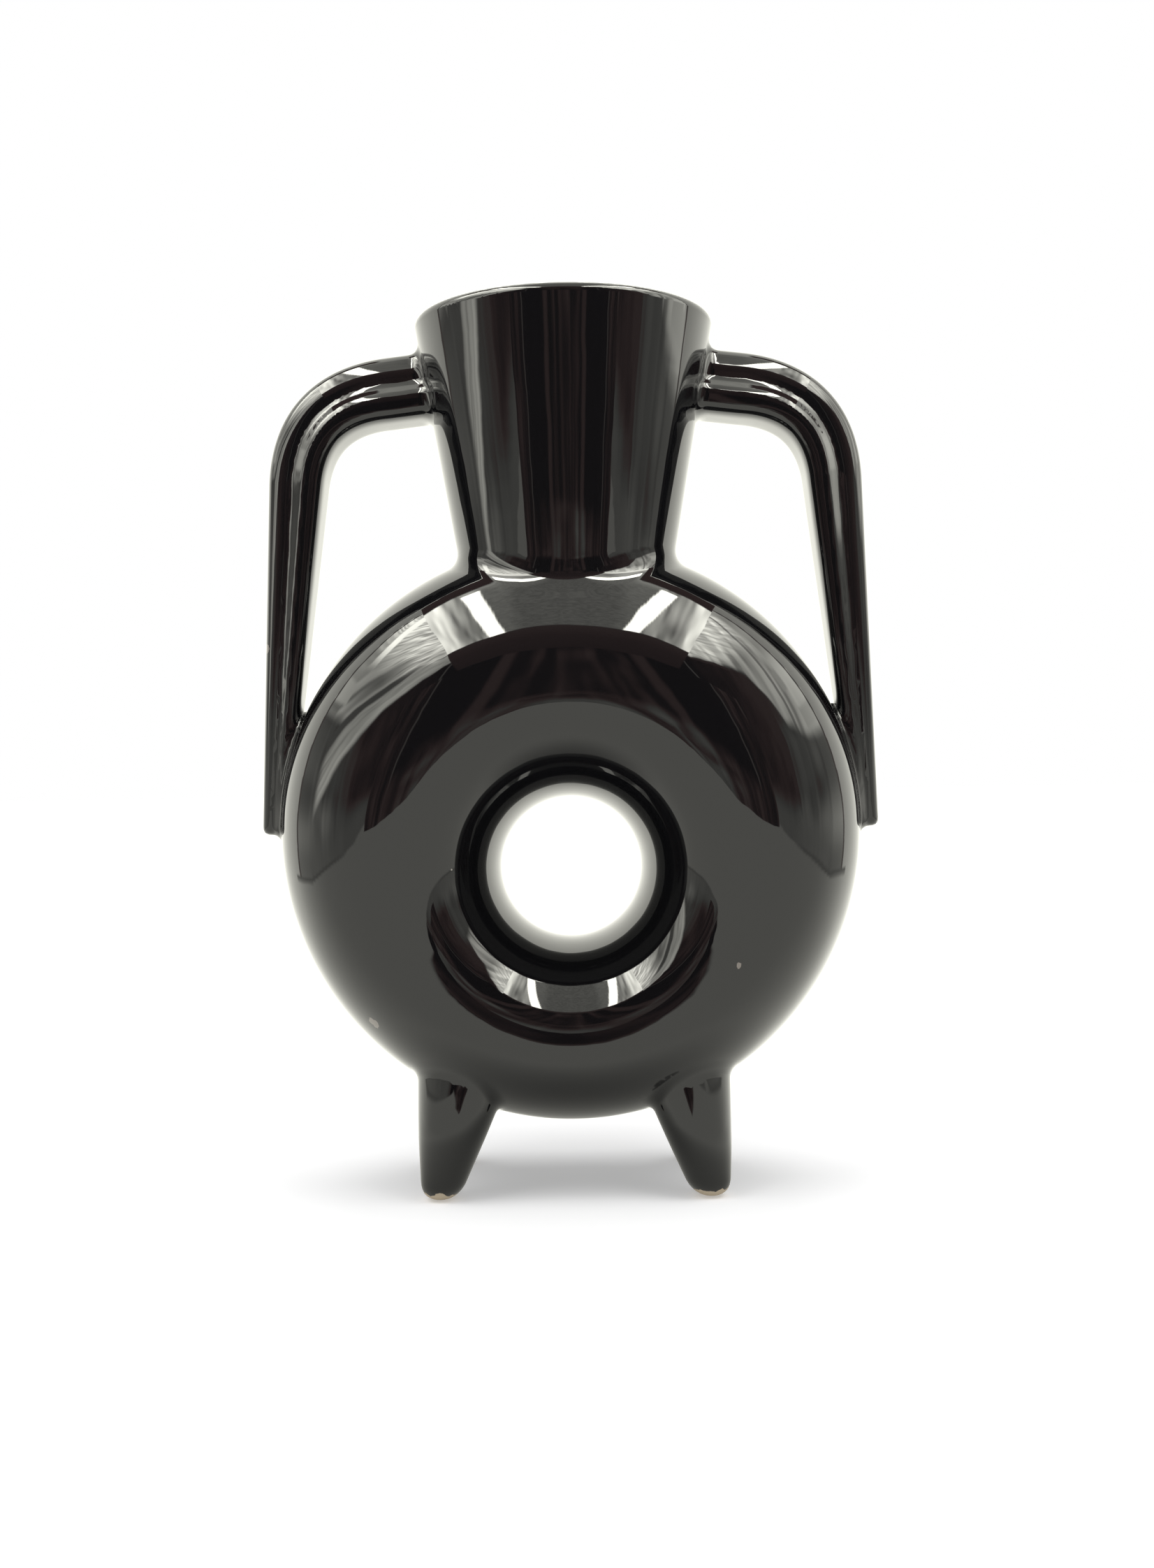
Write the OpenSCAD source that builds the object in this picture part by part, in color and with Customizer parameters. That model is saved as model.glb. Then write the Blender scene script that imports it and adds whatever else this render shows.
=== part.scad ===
// Glazed ceramic ring vase: one hollow slip-cast piece with a round hole
// through a ring body, a flared neck, two handles and four feet.
// Millimetres. Z is up, the front faces -Y, and the origin is the middle of
// the footprint on the table.

/* [Body] */
// Radius of the ring body's outer edge
body_radius = 100.4; // [96:0.1:106]
// Clear height of the body above the table
body_clearance = 22.8; // [20:0.1:28]
// Half of the ring body's thickness, front to back
body_half_depth = 46; // [43:0.5:54]
// How far in from its outer edge the body's round shoulder reaches
shoulder_width = 38; // [32:0.5:42]
// Fullness of the shoulder, 2 is a true ellipse and more is squarer
section_fullness = 2.1; // [2:0.05:2.8]
// Radius of the round hole at its narrowest
hole_radius = 24.3; // [20:0.1:30]
// How far the hole's centre lies below the body's centre
hole_drop = 13.5; // [9:0.1:16]
// How far out from the hole its flared mouth reaches
flare_width = 33; // [26:0.5:36]

/* [Neck] */
// Total height of the vase to the top of its rim
total_height = 300; // [290:0.5:310]
// Outer radius the neck's side would have at the very top
rim_radius = 52.4; // [50:0.1:56]
// Outer radius of the neck where it meets the side of the body
neck_base_radius = 37.7; // [35:0.1:40]
// Radius of the hollow blend where the neck meets the body
neck_blend = 6; // [4:0.5:8]

/* [Wall] */
// Thickness of the ceramic wall
wall = 5; // [4:0.1:6]

/* [Handles] */
// How far the handle's upper corner lies inside the body's outer edge
handle_corner_inset = 9.2; // [5:0.1:13]
// How far the handle's upper corner lies below the rim
handle_corner_drop = 27.5; // [24:0.5:32]
// How far the handle's centre line lies below the rim at the middle of the neck
handle_root_drop = 16.6; // [14:0.2:20]
// How far the handle's lower end stands out from the body's outer edge
handle_end_standoff = 2.8; // [1:0.1:4]
// How far the handle's lower end lies below the body's centre
handle_end_drop = 1; // [-3:0.1:5]
// How far from the corner the bend starts on each side
handle_bend = 29; // [24:0.5:34]
// Thickness of the handle beside the neck
handle_root_size = 23.4; // [20:0.1:26]
// Thickness of the handle below its bend
handle_mid_size = 19.8; // [17:0.1:22]
// Thickness of the handle at its lower end
handle_end_size = 8.8; // [8:0.1:11]
// Thickness of the handle front to back at its root
handle_root_depth = 23; // [20:0.5:28]
// Thickness of the handle front to back at its lower end
handle_end_depth = 16; // [12:0.5:20]

/* [Feet] */
// Distance from the middle to a foot's tip, sideways
foot_tip_x = 45.5; // [42:0.1:48]
// Distance from the middle to a foot's tip, front to back
foot_tip_y = 27; // [24:0.1:28]
// Radius of a foot just above its rounded tip
foot_tip_radius = 6.8; // [6:0.1:8]
// Radius a foot gains for each millimetre of height
foot_flare = 0.235; // [0.2:0.005:0.26]
// Sideways lean of a foot towards the middle for each millimetre of height
foot_lean = 0.21; // [0.15:0.005:0.25]
// How far a foot's shoulder rises past the body's lowest point
foot_rise = 23.2; // [21:0.2:27]

/* [Hidden] */
glaze = [0.03, 0.03, 0.035];
steps = 12;
foot_sides = 24;
body_centre_height = body_clearance + body_radius;
hole_centre_height = body_centre_height - hole_drop;
neck_base_height = body_centre_height
    + sqrt(body_radius * body_radius - neck_base_radius * neck_base_radius);
foot_top = body_clearance + foot_rise;
handle_corner_x = body_radius - handle_corner_inset;
handle_corner_height = total_height - handle_corner_drop;
handle_root_height = total_height - handle_root_drop;
handle_end_x = body_radius + handle_end_standoff;
handle_end_height = body_centre_height - handle_end_drop;
neck_slope = (rim_radius - neck_base_radius) / (total_height - neck_base_height);
neck_foot_height = neck_base_height - 17;
foot_tip_flat = foot_tip_radius * 0.68;
foot_tip_round = foot_tip_radius * 0.42;
// the handle's three runs: out from the neck, round the bend, down the side
handle_start_x = neck_base_radius + 4;
root_dir = [handle_corner_x, handle_corner_height - handle_root_height]
    / norm([handle_corner_x, handle_corner_height - handle_root_height]);
side_dir = [handle_end_x - handle_corner_x, handle_end_height - handle_corner_height]
    / norm([handle_end_x - handle_corner_x, handle_end_height - handle_corner_height]);
handle_corner = [handle_corner_x, handle_corner_height];
bend_in = handle_corner - handle_bend * root_dir;
bend_out = handle_corner + handle_bend * side_dir;
handle_start = handle_corner
    - root_dir * (handle_corner_x - handle_start_x) / root_dir[0];
handle_end = [handle_end_x, handle_end_height];

// one quarter-exact rounded square: sign kept, power of the fullness
function squared(v, n) = sign(v) * pow(abs(v), 2 / n);

// how far the shoulder is from its inner line, as a share, at a share of the depth
function reach(v) = pow(1 - pow(min(0.9999, abs(v)), section_fullness), 1 / section_fullness);

// height of the body's upper surface above a point of the plan
function top_height(x, y) =
    let (r = body_radius - shoulder_width * (1 - reach(y / body_half_depth)))
    body_centre_height + sqrt(r * r - x * x);

// faces of a skin that closes both ways, like a ring
function ring_faces(m, k) = [
    for (i = [0 : m - 1]) for (j = [0 : k - 1]) for (h = [0, 1])
        let (a = i * k + j)
        let (b = i * k + (j + 1) % k)
        let (c = ((i + 1) % m) * k + (j + 1) % k)
        let (d = ((i + 1) % m) * k + j)
        h == 0 ? [a, c, b] : [a, d, c]
];

// faces of a skin of m loops with k points each, closed by a cap at each end
function loft_faces(m, k) = concat(
    [for (i = [0 : m - 2]) for (j = [0 : k - 1]) for (h = [0, 1])
        let (a = i * k + j)
        let (b = i * k + (j + 1) % k)
        let (c = (i + 1) * k + (j + 1) % k)
        let (d = (i + 1) * k + j)
        h == 0 ? [a, c, b] : [a, d, c]],
    [[for (j = [0 : k - 1]) j]],
    [[for (j = [0 : k - 1]) m * k - 1 - j]]
);

// turns a profile of [radius, depth] points about a line from front to back
module turned(height) {
    translate([0, 0, height]) rotate([90, 0, 0]) rotate_extrude($fn = 96) children();
}

// the round body without its hole; the inset leaves the wall outside a hollow
module disc(inset) {
    half = body_half_depth - inset;
    flat = body_radius - shoulder_width;
    w = shoulder_width - inset;
    turned(body_centre_height)
        polygon(concat(
            [[0, -half]],
            [for (i = [-steps : steps]) let (a = 90 * i / steps)
                [flat + w * squared(cos(a), section_fullness),
                 half * squared(sin(a), section_fullness)]],
            [[0, half]]
        ));
}

// the hole with its flared mouths; the inset leaves a wall round a hollow
module flare(inset) {
    half = body_half_depth - inset + 0.04;
    edge = hole_radius + flare_width;
    w = flare_width - inset;
    turned(hole_centre_height)
        polygon(concat(
            [[0, -half - 3], [edge, -half - 3]],
            [for (i = [-steps : steps]) let (a = 90 * i / steps)
                [edge - w * squared(cos(a), section_fullness),
                 half * squared(sin(a), section_fullness)]],
            [[edge, half + 3], [0, half + 3]]
        ));
}

// the round body with its off-centre hole
module ring(inset) {
    difference() {
        disc(inset);
        flare(inset);
    }
}

// outer radius of the neck at a height
function neck_radius(z) = neck_base_radius + neck_slope * (z - neck_base_height);

// the neck's solid cone with the outer half of its rounded rim
module neck() {
    lip = wall / 2;
    rim_middle = neck_radius(total_height - lip) - lip;
    rotate_extrude($fn = 96)
        polygon(concat(
            [[0, neck_foot_height], [neck_radius(neck_foot_height), neck_foot_height]],
            [for (i = [0 : 8]) let (a = 90 * i / 8)
                [rim_middle + lip * cos(a), total_height - lip + lip * sin(a)]],
            [[0, total_height]]
        ));
}

// the hollow of the neck, opening with the inner half of the rounded rim
module bore() {
    lip = wall / 2;
    rim_middle = neck_radius(total_height - lip) - lip;
    rotate_extrude($fn = 96)
        polygon(concat(
            [[0, neck_foot_height - 4],
             [neck_radius(neck_foot_height - 4) - wall, neck_foot_height - 4]],
            [for (i = [0 : 7]) let (a = 180 - 80 * i / 7)
                [rim_middle + lip * cos(a), total_height - lip + lip * sin(a)]],
            [[rim_middle, total_height + 2], [0, total_height + 2]]
        ));
}

// one section of the hollow blend round the foot of the neck
function blend_loop(turn) =
    let (c = cos(turn))
    let (s = sin(turn))
    let (joint_r = neck_base_radius)
    let (joint_z = top_height(joint_r * c, joint_r * s))
    let (r_j = neck_radius(joint_z))
    let (z_j = top_height(r_j * c, r_j * s))
    let (r_out = min(r_j + neck_blend, body_half_depth - 1.2))
    let (z_out = top_height(r_out * c, r_out * s))
    let (up = neck_blend * 1.2)
    let (a = [neck_radius(z_j + up) - 0.12, z_j + up])
    let (b = [r_j, z_j])
    let (e = [r_out, z_out - 0.12])
    concat(
        [for (i = [0 : 6]) let (t = i / 6)
            let (p = a * (1 - t) * (1 - t) + b * 2 * t * (1 - t) + e * t * t)
            [p[0] * c, p[0] * s, p[1]]],
        [[(r_out - 1) * c, (r_out - 1) * s, z_out - 3.2],
         [(r_j - 3.4) * c, (r_j - 3.4) * s, z_j - 3],
         [(r_j - 3.4) * c, (r_j - 3.4) * s, z_j + up]]
    );

module neck_fillet() {
    m = 48;
    polyhedron(
        points = [for (i = [0 : m - 1]) each blend_loop(360 * i / m)],
        faces = ring_faces(m, 10)
    );
}

// the handle's centre line: straight, then a smooth bend, then straight
function handle_path(u) =
    u < 0.2 ? handle_start + (bend_in - handle_start) * u / 0.2 :
    u < 0.6 ? let (t = (u - 0.2) / 0.4)
        bend_in * (1 - t) * (1 - t) + handle_corner * 2 * t * (1 - t) + bend_out * t * t :
    bend_out + (handle_end - bend_out) * (u - 0.6) / 0.4;

function handle_dir(u) =
    u < 0.2 ? root_dir :
    u < 0.6 ? let (t = (u - 0.2) / 0.4)
        let (d = (handle_corner - bend_in) * (1 - t) + (bend_out - handle_corner) * t)
        d / norm(d) :
    side_dir;

// thickness in the picture's plane, and front to back, along the handle
function handle_size(u) =
    u < 0.6 ? handle_root_size + (handle_mid_size - handle_root_size) * u / 0.6 :
    handle_mid_size + (handle_end_size - handle_mid_size) * (u - 0.6) / 0.4;

function handle_depth(u) =
    handle_root_depth + (handle_end_depth - handle_root_depth) * max(0, u - 0.2) / 0.8;

// one rounded section of the handle, shrunk and set on at the cut end
function handle_loop(u, shrink, on) =
    let (p = handle_path(u) + on * [0, -1])
    let (d = handle_dir(u))
    let (flat = u > 0.9 ? (u - 0.9) / 0.1 : 0)
    let (side = [d[1], -d[0]] * (1 - flat) + [-1, 0] * flat)
    let (w = handle_size(u) / 2 - shrink)
    let (h = handle_depth(u) / 2 - shrink)
    [for (j = [0 : 19]) let (a = 360 * j / 20)
        [p[0] + side[0] * w * squared(cos(a), 2.5),
         h * squared(sin(a), 2.5),
         p[1] + side[1] * w * squared(cos(a), 2.5)]];

module handle() {
    stops = [0, 0.1, 0.2, 0.25, 0.3, 0.35, 0.4, 0.45, 0.5, 0.55, 0.6, 0.7, 0.8, 0.9, 1];
    polyhedron(
        points = concat(
            [for (u = stops) each handle_loop(u, 0, 0)],
            handle_loop(1, 0.45, 1.05),
            handle_loop(1, 1.5, 1.5)),
        faces = loft_faces(len(stops) + 2, 20)
    );
}

// one section of a foot, rounder at its tip and squarer at its shoulder
function foot_loop(z, r, n) =
    [for (j = [0 : foot_sides - 1]) let (a = 360 * j / foot_sides)
        [foot_tip_x - foot_lean * z + r * squared(cos(a), n),
         -foot_tip_y + r * squared(sin(a), n), z]];

function foot_radius(z) = foot_tip_radius + foot_flare * (z - foot_tip_round);

module foot() {
    top = foot_top;
    full = foot_radius(top - 4);
    n_top = 2.5;
    polyhedron(
        points = concat(
            foot_loop(0, foot_tip_flat, 2),
            foot_loop(foot_tip_round * 0.3, foot_tip_radius * 0.87, 2),
            foot_loop(foot_tip_round, foot_tip_radius, 2),
            foot_loop(foot_tip_round + 6, foot_radius(foot_tip_round + 6), 2.1),
            foot_loop(top * 0.42, foot_radius(top * 0.42), 2.2),
            foot_loop(top * 0.66, foot_radius(top * 0.66), 2.35),
            foot_loop(top - 4, full, n_top),
            foot_loop(top - 1.2, full - 1, n_top),
            foot_loop(top, full - 3.6, n_top)),
        faces = loft_faces(9, foot_sides)
    );
}

module vase() {
    color(glaze)
        difference() {
            union() {
                ring(0);
                neck();
                neck_fillet();
                handle();
                mirror([1, 0, 0]) handle();
                foot();
                mirror([1, 0, 0]) foot();
                mirror([0, 1, 0]) foot();
                mirror([1, 0, 0]) mirror([0, 1, 0]) foot();
            }
            ring(wall);
            bore();
        }
}

vase();
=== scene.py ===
"""Black glazed ring vase: the dressed form, its glaze, and a plain white studio."""
import math

import bpy
import numpy as np
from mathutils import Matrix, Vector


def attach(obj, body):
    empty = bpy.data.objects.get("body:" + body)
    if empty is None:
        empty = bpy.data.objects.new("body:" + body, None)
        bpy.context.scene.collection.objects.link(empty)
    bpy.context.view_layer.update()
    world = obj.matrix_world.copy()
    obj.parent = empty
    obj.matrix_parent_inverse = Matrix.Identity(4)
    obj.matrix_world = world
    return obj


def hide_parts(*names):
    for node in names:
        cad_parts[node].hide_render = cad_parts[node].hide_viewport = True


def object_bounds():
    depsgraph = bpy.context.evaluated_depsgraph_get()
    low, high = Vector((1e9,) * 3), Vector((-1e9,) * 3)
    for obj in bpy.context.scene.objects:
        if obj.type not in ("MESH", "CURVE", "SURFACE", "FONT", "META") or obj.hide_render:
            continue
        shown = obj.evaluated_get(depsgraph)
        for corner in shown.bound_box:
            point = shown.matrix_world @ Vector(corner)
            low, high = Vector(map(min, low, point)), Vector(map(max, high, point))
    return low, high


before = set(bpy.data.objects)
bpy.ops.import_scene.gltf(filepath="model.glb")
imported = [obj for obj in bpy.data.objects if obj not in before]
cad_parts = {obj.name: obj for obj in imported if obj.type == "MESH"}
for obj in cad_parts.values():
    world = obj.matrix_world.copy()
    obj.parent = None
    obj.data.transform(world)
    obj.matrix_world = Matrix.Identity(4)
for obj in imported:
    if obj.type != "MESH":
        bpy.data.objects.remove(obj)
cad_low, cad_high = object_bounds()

import openvdb as vdb
from mathutils import Euler, Matrix, Vector

# The form is worked out in millimetres and handed to Blender in metres.
MM = 0.001

# Body: radius and centre, radius above the centre, and half of its depth
BODY_R, BODY_Z = 100.6, 123.1
BODY_RISE = 99.4
BODY_HALF = 46.0
# the hole, and the circle about its centre where the body is deepest
HOLE_R, HOLE_Z = 24.3, 109.7
CROWN_R = 58.2
# how full the section is towards the hole and towards the outer edge: 2 is an ellipse
HOLE_FULLNESS, EDGE_FULLNESS = 2.0, 2.1
WALL = 5.0

# Neck: a cone that starts NECK_SUNK inside the body
TOP = round(cad_high[2] / MM, 1)
NECK_TOP_R = 52.4
NECK_BASE_R, NECK_BASE_Z = 38.2, 219.0
NECK_SLOPE = (NECK_TOP_R - NECK_BASE_R) / (TOP - NECK_BASE_Z)
NECK_SUNK, NECK_SUNK_ROUND = 18.0, 2.0
LIP = 2.7
# share by which its base is flatter than its rim, and the height over which that grows
NECK_OVAL, NECK_OVAL_SPAN = 0.07, 93.0
# height where the rounded rim takes over from the wall, and how soon
RIM_Z, RIM_SPAN = 268.0, 6.0

# Widths of the soft joins
NECK_JOIN, HANDLE_JOIN, FOOT_JOIN = 5.5, 4.0, 3.0
HOLLOW_JOIN, RIM_JOIN = 8.0, 4.0

# Handles, in the plane of the ring
HANDLE_ROOT = np.array([36.0, 279.1])
HANDLE_CORNER = np.array([91.2, 272.5])
HANDLE_END = np.array([103.2, 122.2])
HANDLE_BEND = 29.0
HANDLE_INNER_X = 34.0
# widths at the neck, after the bend and at the end, and depths at the neck and at the end
HANDLE_SIZES = (23.4, 19.8, 8.8)
HANDLE_DEPTHS = (23.0, 16.0)
# the section: an outer roll with this share of the depth, and a step up to the inner roll
ROLL_DEPTH, ROLL_TAPER = 0.79, 0.03
STEP_TOP, STEP_LOW = 0.30, 0.10
OUTER_FULLNESS, INNER_FULLNESS = 3.1, 5.0

# Feet: place to the side at the floor, and front and radius at the height FOOT_LEVEL
FOOT_X, FOOT_FRONT, FOOT_R, FOOT_LEVEL = 45.5, 34.2, 6.8, 2.5
# how fast a foot grows wider and leans inwards as it rises, and where it ends in the body
FOOT_FLARE, FOOT_LEAN, FOOT_TOP = 0.235, 0.21, 51.5
# how full its section is, and the nearest distance for one measured level
FOOT_FULLNESS, FOOT_SLANT = 2.1, 0.94
FOOT_TOP_ROUND, FOOT_TIP_ROUND = 6.0, 6.4
# how fast the front of a left and of a right foot comes forward, at these heights
FOOT_HEIGHTS = (0, 2.5, 12, 20, 26, 32, 46, 60)
FOOT_SLOPES = ((0.36, 0.36, 0.36, 0.31, 0.00, -0.15, -0.20, -0.25),
               (0.38, 0.38, 0.36, 0.08, -0.12, -0.15, -0.17, -0.25))

# Mesh: the space it fills, its pitch, and how many triangles are kept
MESH_LOW, MESH_HIGH = (-112.0, -56.0, -4.0), (112.0, 56.0, 304.0)
MESH_PITCH, MOST_TRIANGLES = 1.25, 196000

# Glaze, specks in it, and the bare clay at the tips; sizes in metres
GLAZE_COLOUR, SPECK_COLOUR = (0.004, 0.004, 0.0045, 1), (0.30, 0.28, 0.24, 1)
GLAZE_ROUGHNESS, GLAZE_IOR = 0.02, 1.58
GLAZE_WAVE, WAVES_PER_METRE = 0.00022, 38.0
SPECKS_PER_METRE, SPECK_SIZE, SPECK_SHARE = 42.0, 0.013, 0.55
CLAY_COLOUR, CLAY_ROUGHNESS = (0.42, 0.35, 0.25, 1), 0.85
BARE_HEIGHT = 0.003
# small chips in the glaze: places and sizes in metres
MARK_COLOUR = (0.16, 0.14, 0.12, 1)
MARKS = (((-0.1047, -0.0050, 0.187), 0.0016), ((-0.0660, -0.0330, 0.0605), 0.0018),
         ((0.0540, -0.0457, 0.0790), 0.0009))

# The tent that the glaze mirrors: its walls, roof and front, and how far it goes on behind
ROOM_SIDE, ROOM_BACK, ROOM_FRONT, ROOM_TOP = 380.0, 95.0, -1000.0, 700.0
ROOM_BEHIND = 60.0
# its front opening, seen small in the neck
OPENING_LEFT, OPENING_RIGHT, OPENING_Y = -190.0, 205.0, -250.0
OPENING_LOW, OPENING_HIGH = 132.0, 292.0
BACKDROP_HALF, BACKDROP_Y, BACKDROP_HIGH = 2000, 460, 3000
# distance between the points of the cards
CARD_PITCH, OPENING_PITCH, BACKDROP_PITCH = 5.0, 2.0, 500.0

# Tones of the tent: its paper near and far, the paper's tint, and the brown of dark places
PAPER_NEAR, PAPER_FAR = 1.15, 1.9
PAPER_TINT = (1.0, 0.995, 0.90)
BROWN = (1.45, 0.88, 0.80)
# the side walls' grey at these distances towards the front
GREY_AT = (0, 80, 200, 320, 600, 800)
GREY_TONES = (1.15, 1.15, 0.85, 0.3, 0.12, 0.03)
# how steeply the walls' folds climb towards the front
FOLD_SLANT = 0.78
# lower edge of the lit part of the right wall
LIT_AT = (0, 80, 110, 170, 250, 350, 450, 650)
LIT_EDGE = (250, 270, 285, 300, 455, 520, 590, 690)
# pale spots on the left and right walls: distance, half width and softness, then height,
# half height and softness, and the tone
SPOTS = {-1: ((12.0, 24.0, 14.0, 372.0, 22.0, 14.0, 3.2),),
         1: ((8.0, 22.0, 12.0, 305.0, 16.0, 12.0, 3.0), (46.0, 14.0, 12.0, 395.0, 20.0, 14.0, 2.8))}
# rows of lamps in the roof: place beside the vase, and how fast they close in to the front
LAMP_ROWS = ((238.0, 0.07), (252.0, 0.135))
LAMP_HALF, LAMP_SOFT, LAMP_TONE = 22.0, 7.0, 26.0

# Floor: its glow near the vase, dimmed there as painted shade, the distances over which that grows
# to full, and the painted shadow round the feet in its mirror image; distances in metres
FLOOR_HALF, FLOOR_COLOUR = 12.0, (0.8, 0.8, 0.8, 1)
PAINTED_SHADE_GLOW, PAINTED_SHADE_GLOW_FROM, PAINTED_SHADE_GLOW_TO = 0.30, 0.14, 0.42
SHADE, SHADE_FROM, SHADE_TO = 0.30, 0.03, 0.14
PAPER_FROM, PAPER_TO = -0.15, 0.20

# The room's light and the soft lamps, in metres and watts
ROOM_GLOW, LAMP_WATTS, LAMP_SIZE, LAMP_HEIGHT = 0.45, 3.5, 0.6, 0.9
LAMP_PLACES = ((-0.42, -0.35), (0.42, -0.35), (0.0, 0.25))
LAMP_AIM = Vector((0, 0, 0.1))

# Camera: the photograph's height and focal length in pixels, the row level with the eye,
# the eye's place in metres, and its roll
PICTURE_H, FOCAL_PX, EYE_ROW = 2244, 2450.0, 1107.0
EYE = Vector((0.0024, -0.600, 0.142))
ROLL = -0.0155
SENSOR = 36.0


def smooth_min(a, b, k):
    """The smaller of two distances, with a hollow blend about k wide between them."""
    h = np.clip(0.5 + 0.5 * (b - a) / k, 0.0, 1.0)
    return b + (a - b) * h - k * h * (1.0 - h)


def smooth_max(a, b, k):
    """The larger of two distances, with a rounded edge about k wide between them."""
    return -smooth_min(-a, -b, k)


def power(v, n):
    """A power of a number's size, whichever its sign."""
    return np.abs(v) ** n


def ramp(low, high, v):
    """0 below low, 1 above high, and smooth between them."""
    t = np.clip((v - low) / (high - low), 0.0, 1.0)
    return t * t * (3 - 2 * t)


def ring(x, y, z, inset):
    """Distance to the round body with its off-centre hole, inset by a wall."""
    up = np.where(z > BODY_Z, BODY_R / BODY_RISE, 1.0)
    dz = (z - BODY_Z) * up
    r_out = np.hypot(x, dz) + 1e-6
    r_in = np.hypot(x, z - HOLE_Z) + 1e-6
    # across the ring: 1 at the hole's throat, 0 at the crown, 1 at the outer edge
    inner = r_in < CROWN_R
    wide = np.where(inner, CROWN_R - HOLE_R - inset, r_in - CROWN_R + BODY_R - inset - r_out)
    u = np.abs(r_in - CROWN_R) / wide
    w = np.abs(y) / (BODY_HALF - inset)
    n = np.where(inner, HOLE_FULLNESS, EDGE_FULLNESS)
    total = u ** n + w ** n + 1e-9
    value = total ** (1.0 / n)
    scale = total ** (1.0 / n - 1.0)
    gu = u ** (n - 1) / wide
    gw = w ** (n - 1) / (BODY_HALF - inset)
    in_x, in_z = x / r_in, (z - HOLE_Z) / r_in
    gx = gu * np.where(inner, in_x, in_x * (1 - u) + u * x / r_out)
    gz = gu * np.where(inner, in_z, in_z * (1 - u) + u * dz * up / r_out)
    slope = scale * np.sqrt(gx * gx + gz * gz + gw * gw) + 1e-4
    return (value - 1.0) / slope


def neck_radius(z):
    """The neck's outer radius at a height."""
    return NECK_BASE_R + NECK_SLOPE * (z - NECK_BASE_Z)


def neck(x, y, z, inset):
    """Distance to the flared neck as a solid cone that starts inside the body."""
    cos = 1.0 / math.hypot(1.0, NECK_SLOPE)
    side = (np.hypot(x, y) - neck_radius(z)) * cos + inset
    return smooth_max(side, NECK_BASE_Z - NECK_SUNK + inset - z, NECK_SUNK_ROUND)


def lip(x, y, z):
    """Distance to the neck's wall near its rim, which ends in a full round."""
    r = np.hypot(x, y)
    cos = 1.0 / math.hypot(1.0, NECK_SLOPE)
    middle = neck_radius(z) - 0.5 * WALL / cos
    side = np.abs(r - middle) * cos - 0.5 * WALL
    tip_z = TOP - LIP
    tip_r = neck_radius(tip_z) - 0.5 * WALL / cos
    end = np.hypot(r - tip_r, z - tip_z) - 0.5 * WALL
    past = (z - tip_z) + (r - tip_r) * NECK_SLOPE > 0
    return np.where(past, end, side)


def unit(v):
    """The direction of a flat vector, one long."""
    return v / np.hypot(*v)


def bend_point(a, c, t):
    """Points of the handle's bend, a curve from a to c that HANDLE_CORNER draws outwards."""
    return [a[i] * (1 - t) ** 2 + 2 * HANDLE_CORNER[i] * t * (1 - t) + c[i] * t * t for i in (0, 1)]


def nearest_on_bend(a, c, x, z):
    """Where on the bend each point is nearest, found by a sweep and then Newton's steps."""
    best = np.full(np.broadcast(x, z).shape, 1e12)
    t = np.zeros_like(best)
    for s in np.linspace(0, 1, 17):
        px, pz = bend_point(a, c, s)
        d = (x - px) ** 2 + (z - pz) ** 2
        t = np.where(d < best, s, t)
        best = np.minimum(d, best)
    curl = 2 * (a - 2 * HANDLE_CORNER + c)
    for _ in range(4):
        px, pz = bend_point(a, c, t)
        gx, gz = (2 * (HANDLE_CORNER[i] - a[i]) * (1 - t) + 2 * (c[i] - HANDLE_CORNER[i]) * t
                  for i in (0, 1))
        e = (px - x) * gx + (pz - z) * gz
        de = gx * gx + gz * gz + (px - x) * curl[0] + (pz - z) * curl[1]
        # the floor under de keeps a step short on the bend's inner side
        t = np.clip(t - e / np.maximum(de, 200.0), 0.0, 1.0)
    return t, px, pz, gx, gz


def handle_frame(x, z):
    """For points of the handle's plane: offset from its centre line, and run along it."""
    d_in = unit(HANDLE_CORNER - HANDLE_ROOT)
    d_out = unit(HANDLE_END - HANDLE_CORNER)
    a = HANDLE_CORNER - HANDLE_BEND * d_in
    c = HANDLE_CORNER + HANDLE_BEND * d_out
    # first run: straight out from the neck
    run1 = (x - HANDLE_ROOT[0]) * d_in[0] + (z - HANDLE_ROOT[1]) * d_in[1]
    len1 = np.hypot(*(a - HANDLE_ROOT))
    off1 = (x - HANDLE_ROOT[0]) * d_in[1] - (z - HANDLE_ROOT[1]) * d_in[0]
    # second run: round the bend
    t, px, pz, gx, gz = nearest_on_bend(a, c, x, z)
    off2 = ((x - px) * gz - (z - pz) * gx) / np.hypot(gx, gz)
    # last run: straight down the side
    run3 = (x - c[0]) * d_out[0] + (z - c[1]) * d_out[1]
    len3 = np.hypot(*(HANDLE_END - c))
    off3 = (x - c[0]) * d_out[1] - (z - c[1]) * d_out[0]
    first = (run1 < len1) & (x < HANDLE_CORNER[0] + 6)
    last = run3 > 0
    off = np.where(last, off3, np.where(first, off1, off2))
    run = np.where(last, 1 + run3 / len3, np.where(first, 0.0, t))
    return off, run


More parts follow.
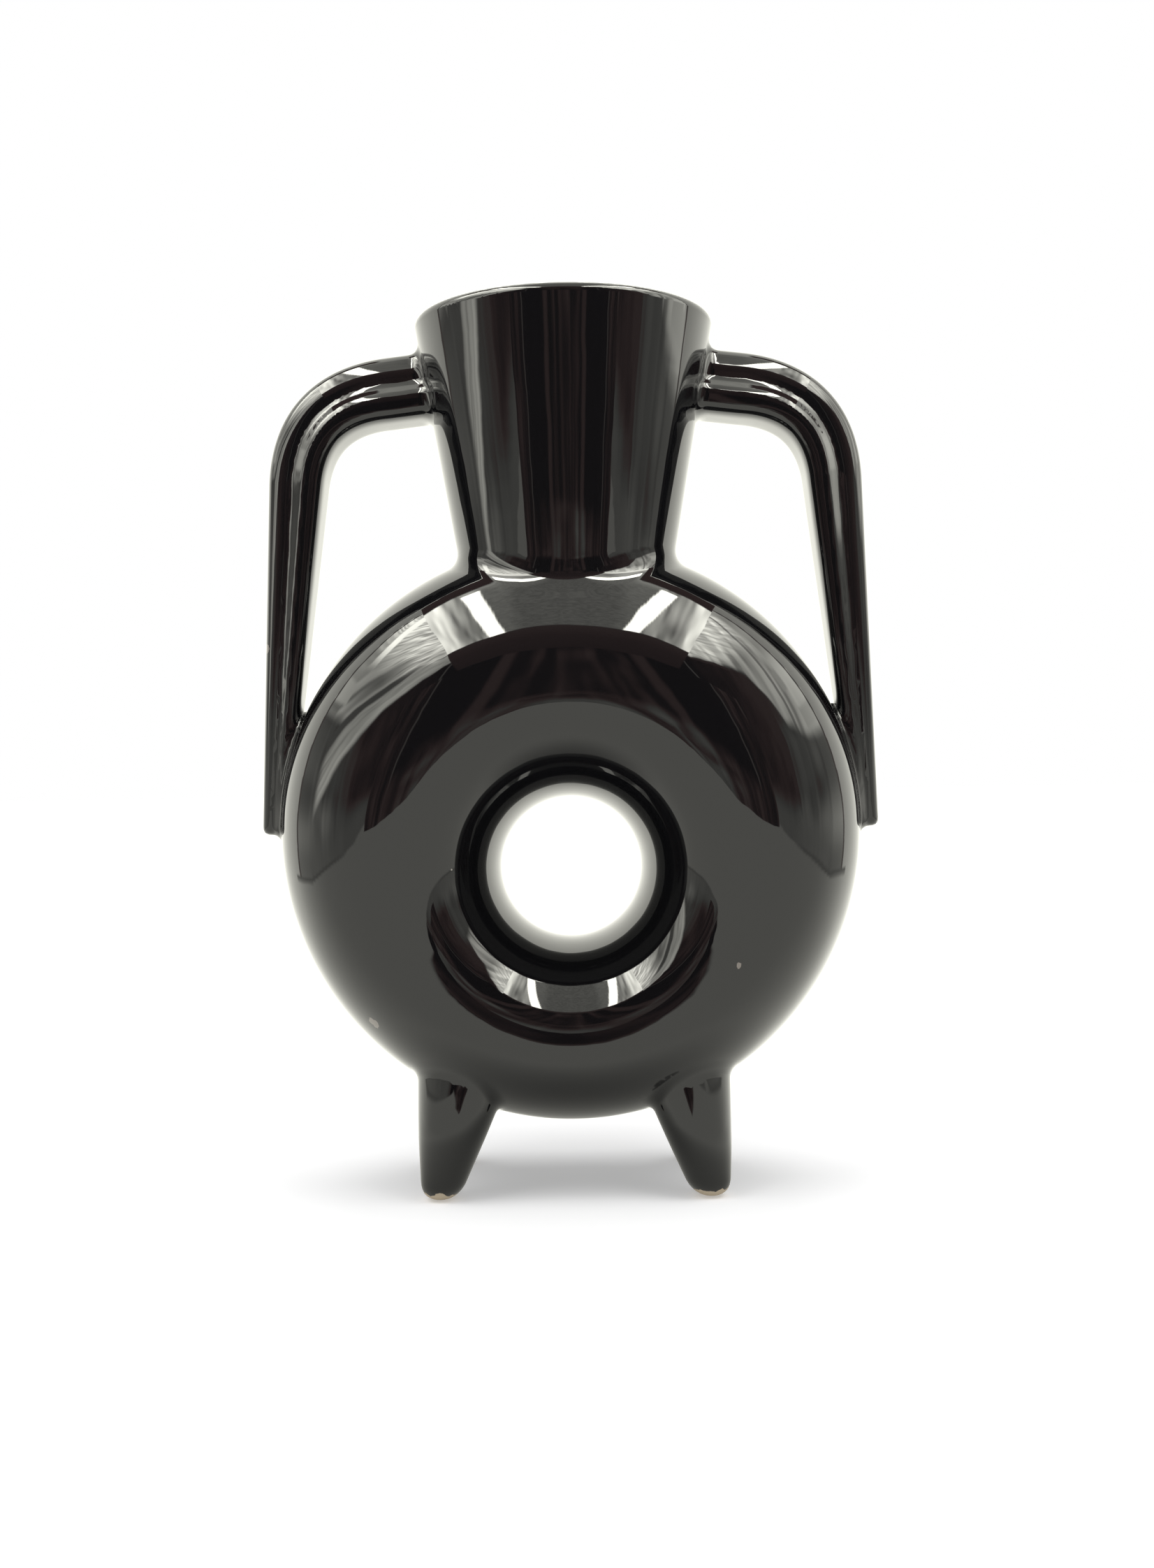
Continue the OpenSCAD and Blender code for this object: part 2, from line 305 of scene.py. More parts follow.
def handle(x, y, z):
    """Distance to both handles: a rounded bar with a stepped section that tapers down the side."""
    x = np.abs(x)
    off, run = handle_frame(x, z)
    top, mid, low = HANDLE_SIZES
    down = np.clip(run - 1.0, 0.0, 1.2)
    half = 0.5 * np.where(run < 1, top + (mid - top) * run, mid + (low - mid) * down)
    depth = 0.5 * (HANDLE_DEPTHS[0] + (HANDLE_DEPTHS[1] - HANDLE_DEPTHS[0]) * down)
    # the section has two rolls: a full one on the inner side, and a shallower outer one
    across = np.clip(-off / half, -1.2, 1.2)
    step = STEP_TOP - (STEP_TOP - STEP_LOW) * np.clip(down, 0.0, 1.0)
    rolls = ROLL_DEPTH - ROLL_TAPER * np.maximum(across, 0.0) + step * ramp(0.12, -0.38, across)
    depth = depth * rolls
    n = OUTER_FULLNESS + (INNER_FULLNESS - OUTER_FULLNESS) * ramp(0.25, -0.35, across)
    value = (power(off / half, n) + power(y / depth, n) + 1e-9) ** (1.0 / n)
    near = np.hypot(off, y) / (value + 1e-6)
    bar = np.where(value > 1e-3, (value - 1.0) * near, -half)
    bar = smooth_max(bar, HANDLE_END[1] - z, 3.0)
    return smooth_max(bar, HANDLE_INNER_X - x, 1.0)


def foot_front(z, slopes):
    """How far forward a foot's front stands at each height."""
    heights = np.linspace(0.0, FOOT_HEIGHTS[-1], 601)
    steps = np.interp(heights, FOOT_HEIGHTS, slopes) * (heights[1] - heights[0])
    front = np.cumsum(steps)
    return FOOT_FRONT + np.interp(z, heights, front) - np.interp(FOOT_LEVEL, heights, front)


def foot(x, y, z):
    """Distance to the four feet: leaning tapered posts with a flat front and a ledge."""
    front = np.where(x < 0, foot_front(z, FOOT_SLOPES[0]), foot_front(z, FOOT_SLOPES[1]))
    x, y = np.abs(x), np.abs(y)
    n = FOOT_FULLNESS
    r = FOOT_R + FOOT_FLARE * (z - FOOT_LEVEL)
    dx = x - (FOOT_X - FOOT_LEAN * z)
    dy = y - (front - r)
    value = (power(dx, n) + power(dy, n) + 1e-9) ** (1.0 / n)
    cone = smooth_max((value - r) * FOOT_SLANT, z - FOOT_TOP, FOOT_TOP_ROUND)
    return smooth_max(cone, -z, FOOT_TIP_ROUND)


def neck_y(y, z):
    """The depth at which the neck is taken: round at its rim, a little flat at its base."""
    return y / (1.0 - NECK_OVAL * np.clip((TOP - z) / NECK_OVAL_SPAN, 0.0, 1.0))


def field(x, y, z):
    """Signed distance to the whole vase, negative inside the clay."""
    round_y = neck_y(y, z)
    bars = handle(x, y, z)
    outer = smooth_min(ring(x, y, z, 0.0), neck(x, round_y, z, 0.0), NECK_JOIN)
    outer = smooth_min(outer, bars, HANDLE_JOIN)
    outer = smooth_min(outer, foot(x, y, z), FOOT_JOIN)
    hollow = smooth_min(ring(x, y, z, WALL), neck(x, round_y, z, WALL), HOLLOW_JOIN)
    solid = np.maximum(outer, -hollow)
    # near the rim the wall is rebuilt with a round lip, and the handles stay out of the hollow
    rim = smooth_min(lip(x, round_y, z), np.maximum(bars, -(hollow - 0.5)), RIM_JOIN)
    share = np.clip((z - RIM_Z) / RIM_SPAN, 0.0, 1.0)
    return solid * (1 - share) + rim * share


def gradient(p, step=0.05):
    """How field() grows along x, y and z at each point."""
    out = np.empty_like(p)
    for i in range(3):
        q = p.copy()
        q[:, i] += step
        up = field(q[:, 0], q[:, 1], q[:, 2])
        q[:, i] -= 2 * step
        out[:, i] = (up - field(q[:, 0], q[:, 1], q[:, 2])) / (2 * step)
    return out


def settle(p, reach, rounds):
    """Moves points onto the zero surface of field(), each round by no more than reach."""
    for _ in range(rounds):
        g = gradient(p)
        size2 = np.maximum((g * g).sum(1), 0.05)
        move = field(p[:, 0], p[:, 1], p[:, 2]) / size2
        p -= g * np.clip(move, -reach, reach)[:, None]
    p[:, 2] = np.maximum(p[:, 2], 0.0)
    return p


def zero_surface(pitch):
    """Points and four-sided faces of the zero surface of field()."""
    low = np.array(MESH_LOW)
    axes = [np.arange(low[i], MESH_HIGH[i] + pitch, pitch) for i in range(3)]
    volume = field(axes[0][:, None, None], axes[1][None, :, None], axes[2][None, None, :])
    grid = vdb.FloatGrid(50.0)
    grid.copyFromArray(np.ascontiguousarray(volume.astype(np.float32)))
    points, quads = grid.convertToQuads(0.0)
    points = np.asarray(points, dtype=np.float64) * pitch + low
    return settle(points, pitch, 3), np.asarray(quads, dtype=np.int64)


def thin(obj, share):
    """Gives obj a mesh with fewer faces, most of them where the surface bends most."""
    fewer = obj.modifiers.new("fewer", "DECIMATE")
    fewer.ratio = share
    graph = bpy.context.evaluated_depsgraph_get()
    mesh = bpy.data.meshes.new_from_object(obj.evaluated_get(graph))
    obj.modifiers.clear()
    obj.data = mesh


def smooth_finish(mesh):
    """Lays the mesh's points exactly on the surface, and gives each its true normal."""
    p = np.empty(3 * len(mesh.vertices))
    mesh.vertices.foreach_get("co", p)
    p = settle(p.reshape(-1, 3) / MM, 0.5, 2)
    mesh.vertices.foreach_set("co", (p * MM).ravel())
    mesh.update()
    for poly in mesh.polygons:
        poly.use_smooth = True
    g = gradient(p)
    g /= np.maximum(np.linalg.norm(g, axis=1), 1e-9)[:, None]
    g[p[:, 2] < 0.02] = (0, 0, -1)
    mesh.normals_split_custom_set_from_vertices(g.tolist())


def build_vase():
    """The whole vase as one smooth mesh of no more than MOST_TRIANGLES."""
    p, quads = zero_surface(MESH_PITCH)
    mesh = bpy.data.meshes.new("glazed_vase")
    mesh.from_pydata((p * MM).tolist(), [], quads.tolist())
    mesh.update()
    face = quads[len(quads) // 2]
    normal = np.cross(p[face[1]] - p[face[0]], p[face[2]] - p[face[0]])
    if np.dot(normal, gradient(p[face[:1]])[0]) < 0:
        mesh.flip_normals()
    vase = bpy.data.objects.new("glazed_vase", mesh)
    bpy.context.scene.collection.objects.link(vase)
    thin(vase, MOST_TRIANGLES / (2.0 * len(quads)))
    smooth_finish(vase.data)
    return vase


def node(tree, kind, at=(0, 0), **values):
    """A new shader node at a place in its tree, with its settings."""
    n = tree.nodes.new(kind)
    n.location = at
    for key, value in values.items():
        setattr(n, key, value)
    return n


def maths(tree, operation, a, b, at):
    """The result of a sum on a socket a and on b, which is a socket or a plain number."""
    n = node(tree, "ShaderNodeMath", at, operation=operation)
    tree.links.new(a, n.inputs[0])
    if isinstance(b, float):
        n.inputs[1].default_value = b
    else:
        tree.links.new(b, n.inputs[1])
    return n.outputs[0]


def ragged(tree, place, per_metre, at, detail=2.0, roughness=0.5):
    """Soft noise from 0 to 1."""
    n = node(tree, "ShaderNodeTexNoise", at)
    n.inputs["Scale"].default_value = per_metre
    n.inputs["Detail"].default_value = detail
    n.inputs["Roughness"].default_value = roughness
    tree.links.new(place, n.inputs["Vector"])
    return n.outputs["Fac"]


def eased(tree, value, low, high, start, end, at):
    """Goes smoothly from start to end while value goes from low to high."""
    n = node(tree, "ShaderNodeMapRange", at, interpolation_type="SMOOTHSTEP")
    for name, number in (("From Min", low), ("From Max", high), ("To Min", start), ("To Max", end)):
        n.inputs[name].default_value = number
    tree.links.new(value, n.inputs["Value"])
    return n.outputs[0]


def mixed(tree, fac, under, over, at):
    """A colour mix; under and over are sockets or plain colours."""
    mix = node(tree, "ShaderNodeMix", at, data_type="RGBA")
    tree.links.new(fac, mix.inputs["Factor"])
    for socket, value in ((mix.inputs[6], under), (mix.inputs[7], over)):
        if isinstance(value, tuple):
            socket.default_value = value
        else:
            tree.links.new(value, socket)
    return mix.outputs[2]


def speck_mask(tree, place, at):
    """1 on small scattered specks, 0 elsewhere."""
    cells = node(tree, "ShaderNodeTexVoronoi", at)
    cells.inputs["Scale"].default_value = SPECKS_PER_METRE
    tree.links.new(place, cells.inputs["Vector"])
    near = maths(tree, "LESS_THAN", cells.outputs["Distance"], SPECK_SIZE, (at[0] + 200, at[1]))
    pick = node(tree, "ShaderNodeSeparateColor", (at[0] + 200, at[1] - 180))
    tree.links.new(cells.outputs["Color"], pick.inputs[0])
    some = maths(tree, "LESS_THAN", pick.outputs[0], SPECK_SHARE, (at[0] + 400, at[1] - 180))
    return maths(tree, "MULTIPLY", near, some, (at[0] + 600, at[1]))


def bare_mask(tree, place, at):
    """1 on the bare clay at the feet's tips, with a ragged edge."""
    split = node(tree, "ShaderNodeSeparateXYZ", at)
    tree.links.new(place, split.inputs[0])
    edge = ragged(tree, place, 260.0, (at[0], at[1] - 200), detail=4.0)
    edge = maths(tree, "MULTIPLY", edge, BARE_HEIGHT * 2.0, (at[0] + 200, at[1] - 200))
    return maths(tree, "LESS_THAN", split.outputs["Z"], edge, (at[0] + 400, at[1]))


def mark_mask(tree, place, centre, size, at):
    """1 within a small ragged spot about a point of the glaze."""
    away = node(tree, "ShaderNodeVectorMath", at, operation="DISTANCE")
    away.inputs[1].default_value = centre
    tree.links.new(place, away.inputs[0])
    reach = ragged(tree, place, 700.0, (at[0], at[1] - 200))
    reach = maths(tree, "MULTIPLY", reach, size * 2.0, (at[0] + 200, at[1] - 200))
    return maths(tree, "LESS_THAN", away.outputs["Value"], reach, (at[0] + 400, at[1]))


def glaze_material():
    """Deep black glass over pale clay: gently wavy, specked, and bare at the tips."""
    mat = bpy.data.materials.new("black glaze")
    mat.use_nodes = True
    tree = mat.node_tree
    shader = tree.nodes["Principled BSDF"]
    shader.inputs["IOR"].default_value = GLAZE_IOR
    place = node(tree, "ShaderNodeTexCoord", (-1600, 0)).outputs["Object"]
    bare = bare_mask(tree, place, (-1400, -300))
    specks = speck_mask(tree, place, (-1400, 200))
    colour = mixed(tree, specks, GLAZE_COLOUR, SPECK_COLOUR, (-500, 200))
    for i, (centre, size) in enumerate(MARKS):
        mark = mark_mask(tree, place, centre, size, (-1400, 600 + 400 * i))
        colour = mixed(tree, mark, colour, MARK_COLOUR, (-500, 400 + 200 * i))
    colour = mixed(tree, bare, colour, CLAY_COLOUR, (-300, 200))
    tree.links.new(colour, shader.inputs["Base Color"])
    rough = node(tree, "ShaderNodeMapRange", (-300, -100))
    rough.inputs["To Min"].default_value = GLAZE_ROUGHNESS
    rough.inputs["To Max"].default_value = CLAY_ROUGHNESS
    tree.links.new(bare, rough.inputs["Value"])
    tree.links.new(rough.outputs[0], shader.inputs["Roughness"])
    swell = ragged(tree, place, WAVES_PER_METRE, (-800, -500), detail=2.5, roughness=0.4)
    bump = node(tree, "ShaderNodeBump", (-300, -500))
    bump.inputs["Distance"].default_value = GLAZE_WAVE
    tree.links.new(swell, bump.inputs["Height"])
    tree.links.new(bump.outputs[0], shader.inputs["Normal"])
    return mat


def lattice(i, j, seed):
    """A repeatable number from 0 to 1 for each point of a whole-number grid."""
    return np.mod(np.sin(i * 127.1 + j * 311.7 + seed * 74.7) * 43758.5453, 1.0)


def noise(u, v, seed):
    """Smooth seeded noise from 0 to 1 over two coordinates."""
    i, j = np.floor(u), np.floor(v)
    a, b = u - i, v - j
    a, b = a * a * (3 - 2 * a), b * b * (3 - 2 * b)
    low = lattice(i, j, seed) * (1 - a) + lattice(i + 1, j, seed) * a
    high = lattice(i, j + 1, seed) * (1 - a) + lattice(i + 1, j + 1, seed) * a
    return low * (1 - b) + high * b


def band(v, middle, half, soft):
    """1 inside a band about its middle, with soft edges."""
    return ramp(half + soft, half, np.abs(v - middle))


def blend(under, over, share):
    """Goes from under to over as share goes from 0 to 1."""
    return under * (1 - share) + over * share


def paper(y):
    """The white paper's tone, brighter towards the back."""
    return blend(PAPER_NEAR, PAPER_FAR, ramp(-150.0, 200.0, y))


def folds(near, z, side):
    """A wall's slight wave, height above its fold line, and coarse and fine folds."""
    wave = 14.0 * (noise(near / 70.0, z / 90.0, 2 + side) - 0.5)
    rise = z - FOLD_SLANT * near
    fold = noise(near / 190.0, (rise + wave) / 22.0, 4 + side)
    fine = noise(near / 80.0 + z / 200.0, (rise + wave) / 8.0, 6 + side)
    return wave, rise, fold, fine


def grey_cloth(near, z, side):
    """A side wall's plain cloth: streaky and cloudy, and dark towards the open front."""
    upright = noise(near / 15.0, z / 240.0, 8 + side)
    cloud = noise(near / 45.0 + z / 120.0, z / 55.0 - near / 160.0, 10 + side)
    tone = np.interp(near, GREY_AT, GREY_TONES) * (0.35 + 0.5 * upright + 0.9 * cloud)
    return tone * (1.0 - 0.55 * ramp(130.0, 200.0, z))


def left_light(tone, near, z):
    """Adds the left wall's light: a slanting swath, a lit upper part and a bright streak."""
    wave, rise, fold, fine = folds(near, z, -1)
    swath = band(rise + wave, 168.0, 34.0, 26.0) * ramp(30.0, 70.0, near)
    tone = blend(tone, 1.4 + 2.6 * fold + 1.2 * fine, swath)
    lit = ramp(240.0, 262.0, rise + wave) * ramp(300.0, 335.0, z)
    tone = blend(tone, 1.0 + 2.6 * fold, lit)
    high = ramp(430.0, 640.0, z + wave) * ramp(700.0, 600.0, near) * ramp(200.0, 240.0, rise)
    tone = blend(tone, 3.5 + 14.0 * fold * fine + 4.0 * fine, high)
    dark = band(rise + wave, 238.0, 10.0, 14.0) * ramp(30.0, 60.0, near)
    tone = blend(tone, 0.55, dark * (1 - 0.8 * high))
    return blend(tone, 15.0, band(near, 42.0, 18.0, 16.0) * ramp(430.0, 560.0, z))


def right_light(tone, near, z, haze):
    """Adds the right wall's light: lit above a bent edge, and dark below it further out."""
    wave, _, fold, fine = folds(near, z, 1)
    across = noise(near / 26.0 + z / 150.0, z / 130.0, 13)
    edge = np.interp(near, LIT_AT, LIT_EDGE)
    lit = ramp(0.0, 34.0, z - edge + wave) * ramp(700.0, 640.0, near)
    tone = blend(tone, 1.6 + 3.4 * across, lit)
    high = ramp(500.0, 640.0, z + wave) * ramp(-20.0, 30.0, z - edge) * ramp(660.0, 620.0, near)
    tone = blend(tone, 3.5 + 12.0 * fold * across + 5.0 * fine, high * ramp(10.0, 60.0, near))
    tone = blend(tone, 0.55, 0.7 * band(near + 0.1 * z, 140.0, 6.0, 6.0) * ramp(180, 240, z))
    return np.where((near > 230) & (z < edge), np.minimum(tone, 0.22 + 0.9 * haze), tone)


def side_tone(y, z, side):
    """Tone of a side wall: creased silvery cloth, lit from above."""
    near = np.clip(-y, 0.0, -ROOM_FRONT)
    floor_z = 57.0 + 0.185 * near
    haze = ramp(floor_z + 90.0, floor_z + 20.0, z) * ramp(800.0, 500.0, near)
    tone = blend(grey_cloth(near, z, side), 0.75, 0.8 * haze)
    tone = left_light(tone, near, z) if side < 0 else right_light(tone, near, z, haze)
    for far, half, soft, height, half_high, soft_high, pale in SPOTS[side]:
        tone = blend(tone, pale, band(near, far, half, soft) * band(z, height, half_high, soft_high))
    # the front frame of the tent, a pale upright strip
    strip_y = 700.0 + 80.0 * ramp(260.0, 330.0, z)
    tone = blend(tone, 0.45, band(near, strip_y, 9.0, 8.0) * ramp(100, 160, z))
    # seam at the back edge, and the paper below and behind
    seam = ROOM_BACK + 8.0 - 0.1 * (z - 80.0)
    tone = blend(tone, 0.35, band(y, seam - 4.0, 4.0, 5.0))
    tone = np.where(y > seam + 4.0, PAPER_FAR, tone)
    tone = blend(tone, 0.6, band(z, floor_z, 3.0, 4.0) * ramp(320, 220, near))
    return blend(tone, paper(y), ramp(floor_z, floor_z - 5.0, z))


def top_tone(x, y):
    """Tone of the tent's roof, with its two rows of lamps."""
    near, out = -y, np.abs(x)
    grain = noise(x / 8.0, y / 8.0, 21)
    cloth = noise(x / 13.0, y / 220.0, 22)
    tone = 0.85 + 0.5 * grain + 0.5 * ramp(110.0, 165.0, out)
    tone = tone + 0.9 * ramp(60.0, 0.0, near)
    left_x, right_x = (start - drift * near for start, drift in LAMP_ROWS)
    lamp_x = np.where(x < 0, left_x, right_x)
    # bright cloth outside the lamps, brighter still near the walls
    tone = blend(tone, 1.5 + 5.0 * cloth, ramp(-28.0, -8.0, out - lamp_x))
    wide = np.where(x < 0, 318.0, 338.0)
    tone = blend(tone, 9.0 + 8.0 * cloth, ramp(-20.0, 20.0, out - wide))
    tone = blend(tone, LAMP_TONE, band(out, lamp_x, LAMP_HALF, LAMP_SOFT) * ramp(22.0, 36.0, near))
    # the roof ends, and the dark room goes on above the front
    open_end = ramp(604.0, 590.0, near + 0.06 * (300.0 - out))
    beyond = np.interp(near, [600, 750, 1000], [0.22, 0.13, 0.10])
    tone = blend(beyond, tone, open_end)
    tone = blend(tone, 0.16, ramp(6.0, -12.0, near) * ramp(150.0, 165.0, out))
    return np.where(y > 112, PAPER_FAR, tone)


def front_tone(x, z):
    """Tone of the dark room beyond the tent's open front."""
    out = np.abs(x)
    veil = noise(x / 60.0, z / 120.0, 31)
    tone = 0.015 + 0.10 * veil * ramp(290.0, 200.0, out)
    tone = tone + 0.05 * ramp(350.0, 700.0, z) * ramp(330.0, 150.0, out)
    floor_z = np.interp(out, [0, 60, 150, 250, 350, 380], [72, 108, 150, 198, 238, 242])
    low = noise(x / 40.0, (z - floor_z) / 12.0, 33)
    tone = blend(tone, 0.30 * low, ramp(60.0, 20.0, z - floor_z) * ramp(300.0, 200.0, out))
    return blend(tone, PAPER_NEAR, ramp(floor_z + 14.0, floor_z - 8.0, z))


def opening_tone(x, z):
    """Tone of the front opening: a dark room with a pale frame."""
    out = np.abs(x - 6.0)
    veil = noise(x / 5.0, z / 150.0, 41)
    cloud = noise(x / 12.0, z / 30.0, 42)
    tone = 0.02 + 0.45 * veil * veil * cloud * ramp(52.0, 36.0, out)
    tone = blend(tone, 0.20, band(out, 58.0, 3.0, 7.0))
    tone = blend(tone, 0.015, band(out, 96.0, 26.0, 6.0))
    # the frame's two bright edges, and the room seen past them
    tone = blend(tone, 0.40, band(x, 156.0, 1.0, 2.0) + band(x, -133.0, 1.0, 2.0))
    tone = blend(tone, 0.06 + 0.30 * veil * cloud, ramp(176.0, 150.0, z) * ramp(40.0, 70.0, out))
    edge = np.where(x < 0, -137.0 - x, x - 160.0)
    tone = blend(tone, 0.02 + 0.38 * veil * cloud, ramp(-6.0, 10.0, edge))
    low = noise(x / 45.0, z / 9.0, 43) * noise(x / 14.0, z / 60.0, 44)
    return tone + 0.90 * low * ramp(186.0, 164.0, z) * ramp(120.0, 70.0, out)


def sheet(name, corner, side_a, side_b, pitch, tones):
    """A flat card that only shows in reflections, with a tone at each of its points."""
    corner, side_a, side_b = (np.array(v, dtype=float) for v in (corner, side_a, side_b))
    na = int(np.linalg.norm(side_a) / pitch) + 1
    nb = int(np.linalg.norm(side_b) / pitch) + 1
    a, b = np.meshgrid(np.linspace(0, 1, na), np.linspace(0, 1, nb), indexing="ij")
    points = corner + a.ravel()[:, None] * side_a + b.ravel()[:, None] * side_b
    i, j = np.meshgrid(np.arange(na - 1), np.arange(nb - 1), indexing="ij")
    first = (i * nb + j).ravel()
    quads = np.stack([first, first + 1, first + nb + 1, first + nb], axis=1)
    mesh = bpy.data.meshes.new(name)
    mesh.from_pydata((points * MM).tolist(), [], quads.tolist())
    tone = np.asarray(tones(points[:, 0], points[:, 1], points[:, 2]), dtype=float)
    colour = np.ones((len(points), 4))
    warm = ramp(0.5, 0.1, tone)[:, None]
    colour[:, :3] = tone[:, None] * blend(np.array(PAPER_TINT), np.array(BROWN), warm)
    layer = mesh.color_attributes.new("tone", "FLOAT_COLOR", "POINT")
    layer.data.foreach_set("color", colour.ravel())
    card = bpy.data.objects.new(name, mesh)
    bpy.context.scene.collection.objects.link(card)
    mesh.materials.append(sheet_material())
    card.visible_camera = False
    card.visible_diffuse = False
    card.visible_shadow = False
    card.visible_transmission = False


def sheet_material():
    """Glows with the tone kept at each point of a card."""
    known = bpy.data.materials.get("tent cloth")
    if known:
        return known
    mat = bpy.data.materials.new("tent cloth")
    mat.use_nodes = True
    mat.cycles.emission_sampling = "NONE"
    tree = mat.node_tree
    tree.nodes.clear()
    tone = node(tree, "ShaderNodeAttribute", (-200, 0), attribute_name="tone")
    glow = node(tree, "ShaderNodeEmission", (0, 0))
    out = node(tree, "ShaderNodeOutputMaterial", (200, 0))
    tree.links.new(tone.outputs["Color"], glow.inputs["Color"])
    tree.links.new(glow.outputs[0], out.inputs[0])
    return mat


def floor_material():
    """White paper: plain to the eye but for painted shade near the vase, and as bright in
    reflections as in a lit tent.
    """
    mat = bpy.data.materials.new("white paper")
    mat.use_nodes = True
    mat.cycles.emission_sampling = "NONE"
    tree = mat.node_tree
    tree.nodes.clear()
    place = node(tree, "ShaderNodeTexCoord", (-400, -200)).outputs["Object"]
    reach = node(tree, "ShaderNodeVectorMath", (-200, 50), operation="LENGTH")
    tree.links.new(place, reach.inputs[0])
    reach = reach.outputs["Value"]
    split = node(tree, "ShaderNodeSeparateXYZ", (-200, -200))
    tree.links.new(place, split.inputs[0])
    # what the eye sees: paper with the lamps' real shadow of the vase, deepened near the vase by
    # painted shade, and pure white further out
    diffuse = node(tree, "ShaderNodeBsdfDiffuse", (200, 100))
    diffuse.inputs["Color"].default_value = FLOOR_COLOUR
    glow = node(tree, "ShaderNodeEmission", (200, -100))
    # painted shade: the paper's glow is dimmed near the vase
    away = eased(tree, reach, PAINTED_SHADE_GLOW_FROM, PAINTED_SHADE_GLOW_TO, PAINTED_SHADE_GLOW, 1.0, (0, 50))
    tree.links.new(away, glow.inputs["Strength"])
    seen = node(tree, "ShaderNodeAddShader", (420, 0))
    tree.links.new(diffuse.outputs[0], seen.inputs[0])
    tree.links.new(glow.outputs[0], seen.inputs[1])
    # what the glaze mirrors: the tent's paper, with painted shadow round the feet
    far = eased(tree, split.outputs["Y"], PAPER_FROM, PAPER_TO, PAPER_NEAR, PAPER_FAR, (0, -250))
    shade = eased(tree, reach, SHADE_FROM, SHADE_TO, SHADE, 1.0, (0, -480))
    lit = maths(tree, "MULTIPLY", far, shade, (200, -420))
    mirrored = node(tree, "ShaderNodeEmission", (200, -250))
    mirrored.inputs["Color"].default_value = (*PAPER_TINT, 1)
    tree.links.new(lit, mirrored.inputs["Strength"])
    path = node(tree, "ShaderNodeLightPath", (420, 300))
    mix = node(tree, "ShaderNodeMixShader", (660, 0))
    out = node(tree, "ShaderNodeOutputMaterial", (900, 0))
    tree.links.new(path.outputs["Is Glossy Ray"], mix.inputs[0])
    tree.links.new(seen.outputs[0], mix.inputs[1])
    tree.links.new(mirrored.outputs[0], mix.inputs[2])
    tree.links.new(mix.outputs[0], out.inputs[0])
    return mat


def build_tent():
    """The lit tent as reflection cards: two walls, a roof, the dark front and the back."""
    back = ROOM_BACK + ROOM_BEHIND
    deep, high, wide = back - ROOM_FRONT, ROOM_TOP, 2 * ROOM_SIDE
    for name, side in (("wall_left", -1), ("wall_right", 1)):
        sheet(name, (side * ROOM_SIDE, back, 0), (0, -deep, 0), (0, 0, high), CARD_PITCH,
              lambda x, y, z, side=side: side_tone(y, z, side))
    sheet("roof", (-ROOM_SIDE, back, high), (wide, 0, 0), (0, -deep, 0), CARD_PITCH,
          lambda x, y, z: top_tone(x, y))
    sheet("front", (-ROOM_SIDE, ROOM_FRONT, 0), (wide, 0, 0), (0, 0, high), CARD_PITCH,
          lambda x, y, z: front_tone(x, z))
    sheet("opening", (OPENING_LEFT, OPENING_Y, OPENING_LOW), (OPENING_RIGHT - OPENING_LEFT, 0, 0),
          (0, 0, OPENING_HIGH - OPENING_LOW), OPENING_PITCH, lambda x, y, z: opening_tone(x, z))
    sheet("backdrop", (-BACKDROP_HALF, BACKDROP_Y, -5), (2 * BACKDROP_HALF, 0, 0),
          (0, 0, BACKDROP_HIGH), BACKDROP_PITCH, lambda x, y, z: np.full_like(x, PAPER_FAR))


def build_floor():
    """A wide plain floor of white paper."""
    half = FLOOR_HALF
    mesh = bpy.data.meshes.new("floor")
    mesh.from_pydata([(-half, -half, 0), (half, -half, 0), (half, half, 0), (-half, half, 0)],
                     [], [(0, 1, 2, 3)])
    floor = bpy.data.objects.new("floor", mesh)
    bpy.context.scene.collection.objects.link(floor)
    mesh.materials.append(floor_material())


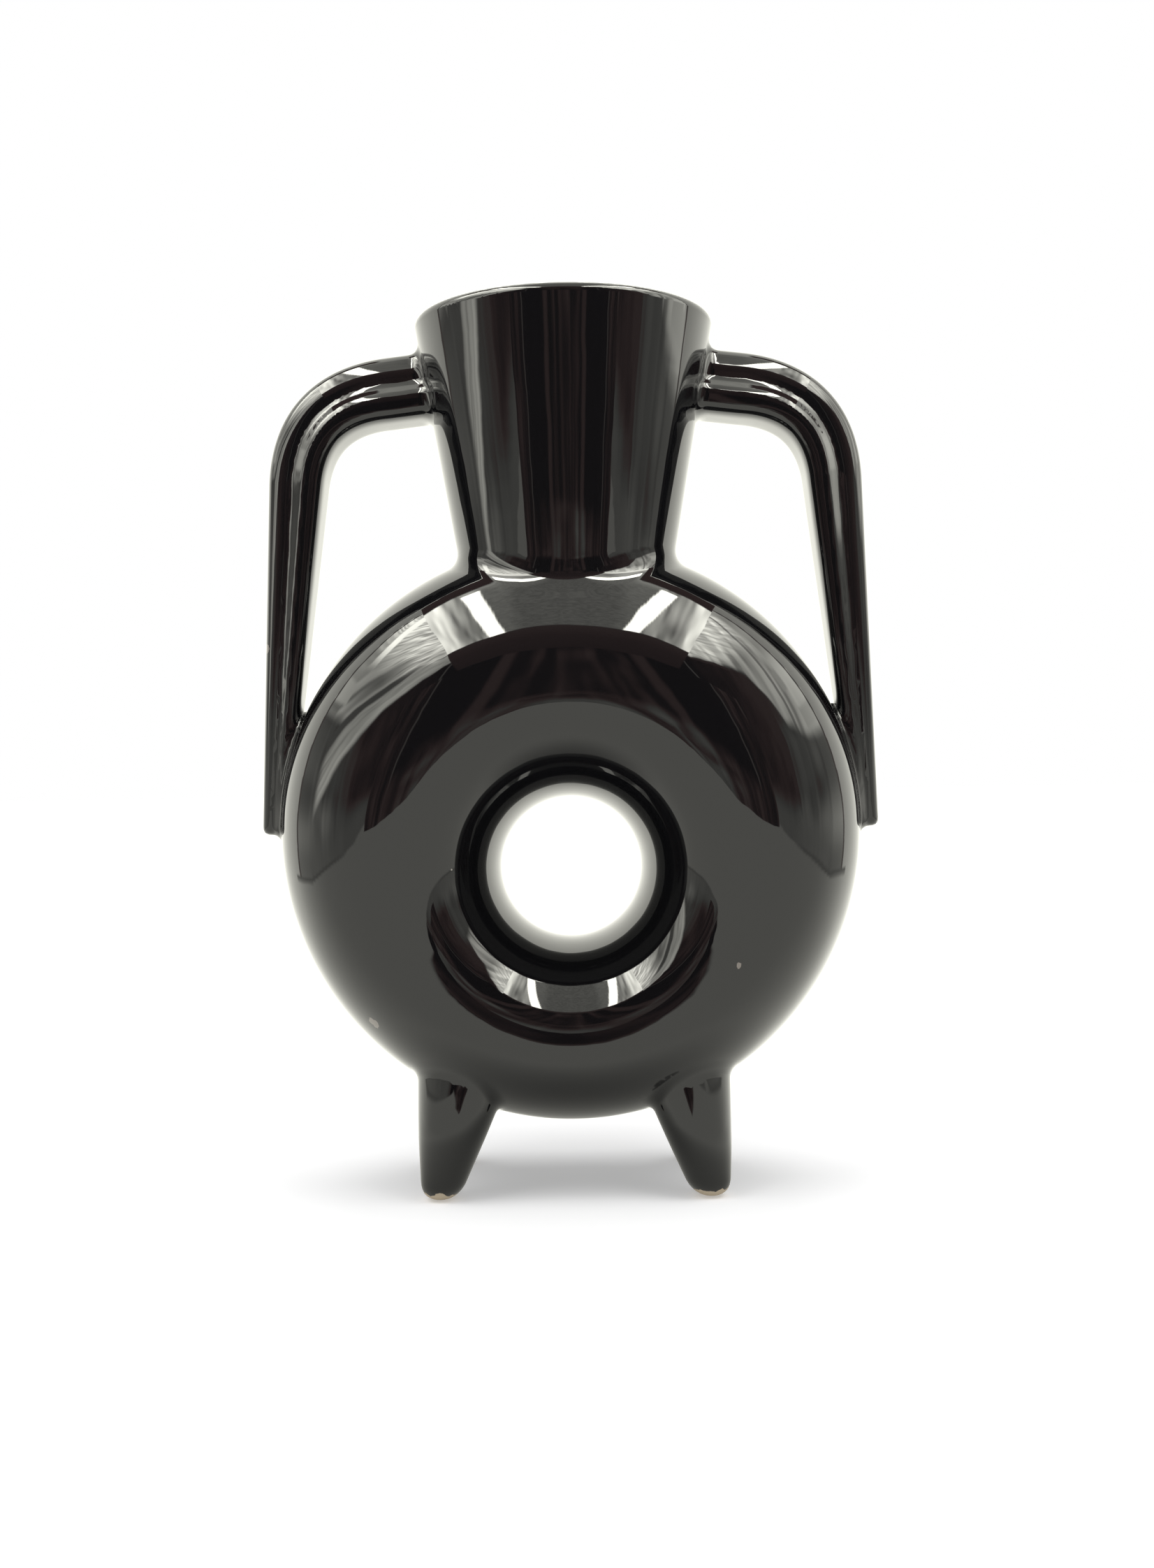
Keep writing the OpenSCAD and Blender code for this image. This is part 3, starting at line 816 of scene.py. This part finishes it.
def build_world():
    """White behind the vase, and an even soft light on it."""
    world = bpy.data.worlds.new("studio")
    bpy.context.scene.world = world
    world.use_nodes = True
    tree = world.node_tree
    tree.nodes.clear()
    out = node(tree, "ShaderNodeOutputWorld", (400, 0))
    path = node(tree, "ShaderNodeLightPath", (-200, 200))
    mix = node(tree, "ShaderNodeMixShader", (200, 0))
    tree.links.new(path.outputs["Is Camera Ray"], mix.inputs[0])
    for i, strength in enumerate((ROOM_GLOW, 1.0)):
        white = node(tree, "ShaderNodeBackground", (0, -80 - 140 * i))
        white.inputs["Color"].default_value = (1, 1, 1, 1)
        white.inputs["Strength"].default_value = strength
        tree.links.new(white.outputs[0], mix.inputs[1 + i])
    tree.links.new(mix.outputs[0], out.inputs[0])


def build_lamps():
    """Large soft lamps above the vase, which don't show in its glaze."""
    for x, y in LAMP_PLACES:
        data = bpy.data.lights.new("soft light", "AREA")
        data.size = LAMP_SIZE
        data.energy = LAMP_WATTS
        lamp = bpy.data.objects.new("soft light", data)
        lamp.location = (x, y, LAMP_HEIGHT)
        lamp.rotation_mode = "QUATERNION"
        lamp.rotation_quaternion = (LAMP_AIM - lamp.location).to_track_quat("-Z", "Y")
        lamp.visible_glossy = False
        bpy.context.scene.collection.objects.link(lamp)


def build_camera():
    """A nearly level camera at the photograph's distance and height, turned by its slight roll."""
    data = bpy.data.cameras.new("camera")
    data.sensor_width = SENSOR
    data.lens = SENSOR * FOCAL_PX / PICTURE_H
    camera = bpy.data.objects.new("camera", data)
    bpy.context.scene.collection.objects.link(camera)
    camera.location = EYE
    down = math.atan((PICTURE_H / 2 - EYE_ROW) / FOCAL_PX)
    turn = Euler((math.pi / 2 - down, 0, 0)).to_matrix() @ Matrix.Rotation(ROLL, 3, "Z")
    camera.rotation_mode = "QUATERNION"
    camera.rotation_quaternion = turn.to_quaternion()
    bpy.context.scene.camera = camera


def main():
    vase = build_vase()
    vase.data.materials.append(glaze_material())
    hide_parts("vase")
    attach(vase, "root")
    build_floor()
    build_world()
    build_lamps()
    build_tent()
    build_camera()
    bpy.context.scene.view_settings.view_transform = "Standard"


main()
